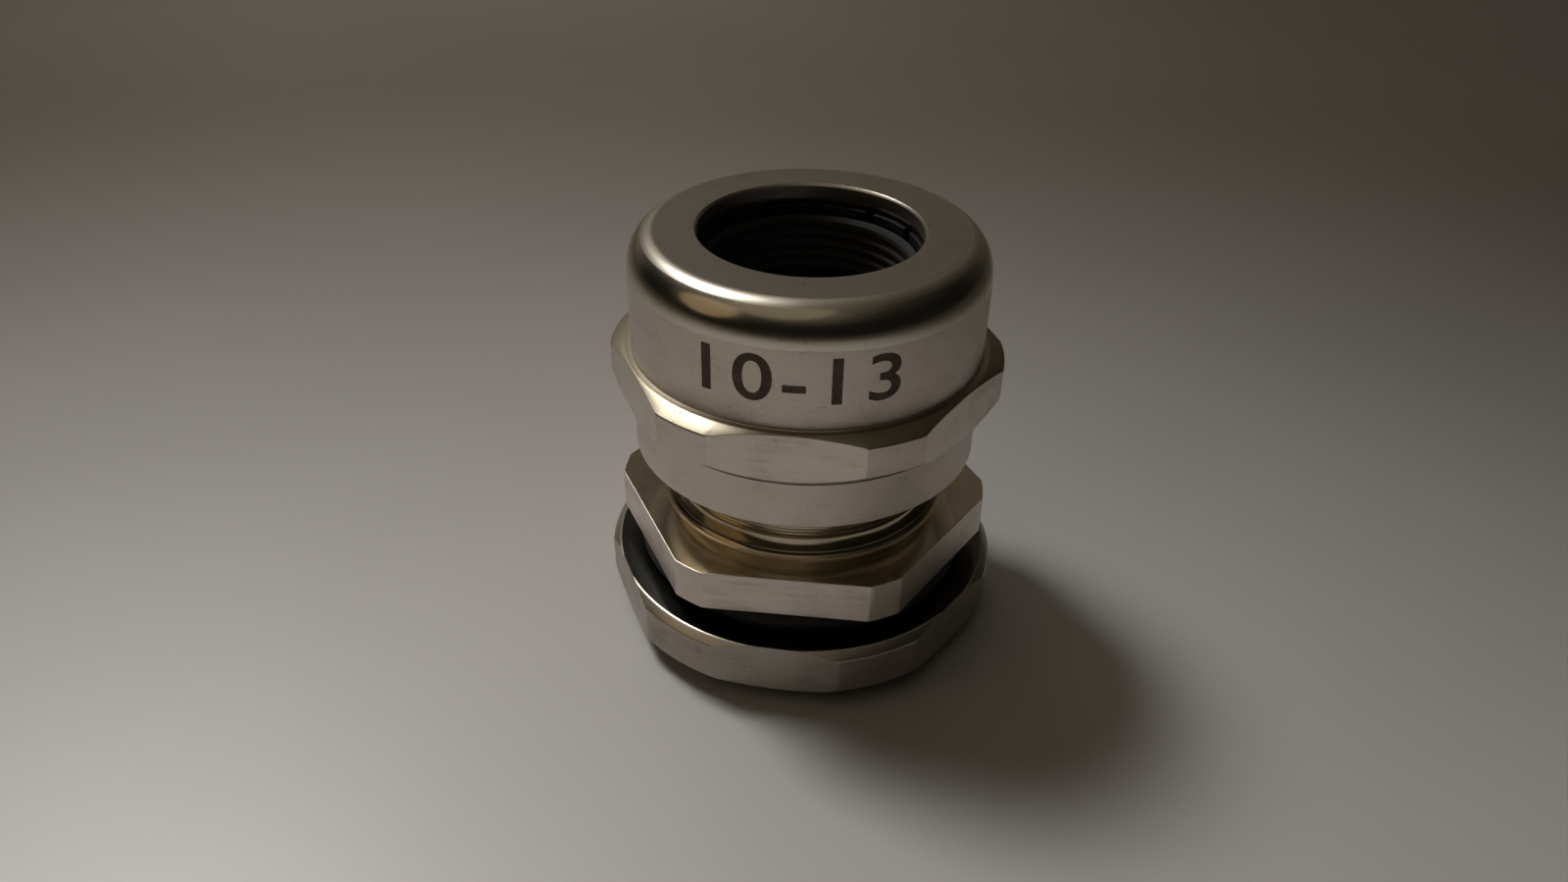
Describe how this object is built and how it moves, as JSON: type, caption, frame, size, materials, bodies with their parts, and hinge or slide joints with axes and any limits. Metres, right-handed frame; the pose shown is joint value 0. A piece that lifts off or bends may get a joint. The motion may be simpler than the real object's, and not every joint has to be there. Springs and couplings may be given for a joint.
{
  "type": "cable gland",
  "caption": "Nickel-plated metal cable gland: dome nut with clamping insert, hexagon body with connection thread, seal ring and lock nut.",
  "frame": {"origin": "on the cable's axis, at the end of the connection thread, which is the lowest point", "axes": "+Z along the cable's axis towards the dome nut, -Y square to one flat of the body's hexagon, the one turned to the viewer"},
  "size_m": [0.0272, 0.0262, 0.0283],
  "materials": {
    "plated_body": "nickel plate, turned and milled, bright neck",
    "plated_nut": "nickel plate, satin band and flats, polished shoulder",
    "plated_lock_nut": "nickel plate, satin flats, bright chamfers",
    "cage_plastic": "moulded, matt",
    "insert_rubber": "matt",
    "ring_rubber": "slightly glossy"
  },
  "bodies": {
    "gland": {"gland_body": "plated_body"},
    "clamping_insert": {"clamping_cage": "cage_plastic", "sealing_insert": "insert_rubber"},
    "top_nut": {"dome_nut": "plated_nut"},
    "panel_seal": {"seal_ring": "ring_rubber"},
    "back_nut": {"lock_nut": "plated_lock_nut"}
  },
  "joints": [
    {"name": "insert_travel", "type": "slide", "parent": "gland", "child": "clamping_insert", "axis": [0, 0, 1], "range_m": [-0.00319, 0.0045]},
    {"name": "dome_nut_turn", "type": "hinge", "parent": "clamping_insert", "child": "top_nut", "pos_m": [0, 0, 0], "axis": [0, 0, 1], "range_deg": [-770, 1085]},
    {"name": "lock_nut_turn", "type": "hinge", "parent": "gland", "child": "panel_seal", "pos_m": [0, 0, 0], "axis": [0, 0, 1], "range_deg": [-1255, 25]},
    {"name": "lock_nut_travel", "type": "slide", "parent": "panel_seal", "child": "back_nut", "axis": [0, 0, 1], "range_m": [-0.0049, 0.00008]}
  ],
  "couplings": [
    {"joint": "dome_nut_turn", "follows": "insert_travel", "rad_per_m": 4188.8},
    {"joint": "lock_nut_turn", "follows": "lock_nut_travel", "rad_per_m": 4453}
  ]
}
